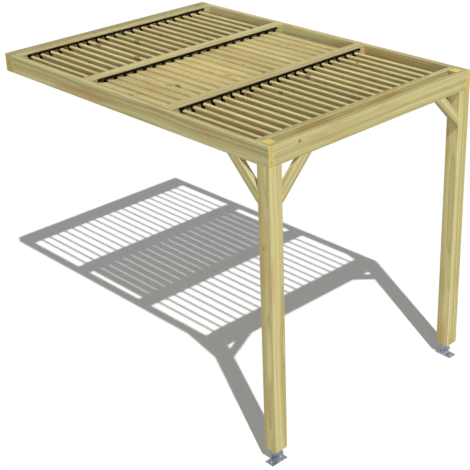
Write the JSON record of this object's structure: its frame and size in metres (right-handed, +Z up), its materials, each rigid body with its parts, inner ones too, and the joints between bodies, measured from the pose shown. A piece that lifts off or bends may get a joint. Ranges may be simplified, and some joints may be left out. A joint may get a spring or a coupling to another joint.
{
  "type": "wall-fixed slatted timber pergola",
  "caption": "Lean-to timber pergola on front posts with knee braces, its roof bays filled with slats laid opened or closed in toothed racks.",
  "frame": {"origin": "centre of the ledger's back face, on the wall", "axes": "+Z up, +X along the wall, +Y into the wall; the pergola reaches out along -Y"},
  "size_m": [2.1375, 3.0575, 2.488],
  "materials": {
    "treated_pine": "planed, pressure-treated",
    "pine_slats": "planed, pressure-treated",
    "black_plastic": "moulded, matt",
    "galvanised_steel": "hot-dip galvanised"
  },
  "bodies": {
    "root": {"ledger": "treated_pine", "side_beam_left": "treated_pine", "side_beam_right": "treated_pine", "front_header": "treated_pine", "rail_front": "treated_pine", "rail_mid_a": "treated_pine", "rail_mid_b": "treated_pine", "rail_mid_c": "treated_pine", "rail_mid_d": "treated_pine", "rail_wall": "treated_pine", "post_left": "treated_pine", "post_right": "treated_pine", "brace_front_left": "treated_pine", "brace_front_right": "treated_pine", "brace_side_left": "treated_pine", "brace_side_right": "treated_pine", "foot_left": "galvanised_steel", "foot_right": "galvanised_steel", "rack_front_near": "black_plastic", "rack_front_far": "black_plastic", "rack_middle_near": "black_plastic", "rack_middle_far": "black_plastic", "rack_wall_near": "black_plastic", "rack_wall_far": "black_plastic", "slats_front": "pine_slats", "slats_middle": "pine_slats", "slats_wall": "pine_slats"}
  },
  "joints": []
}
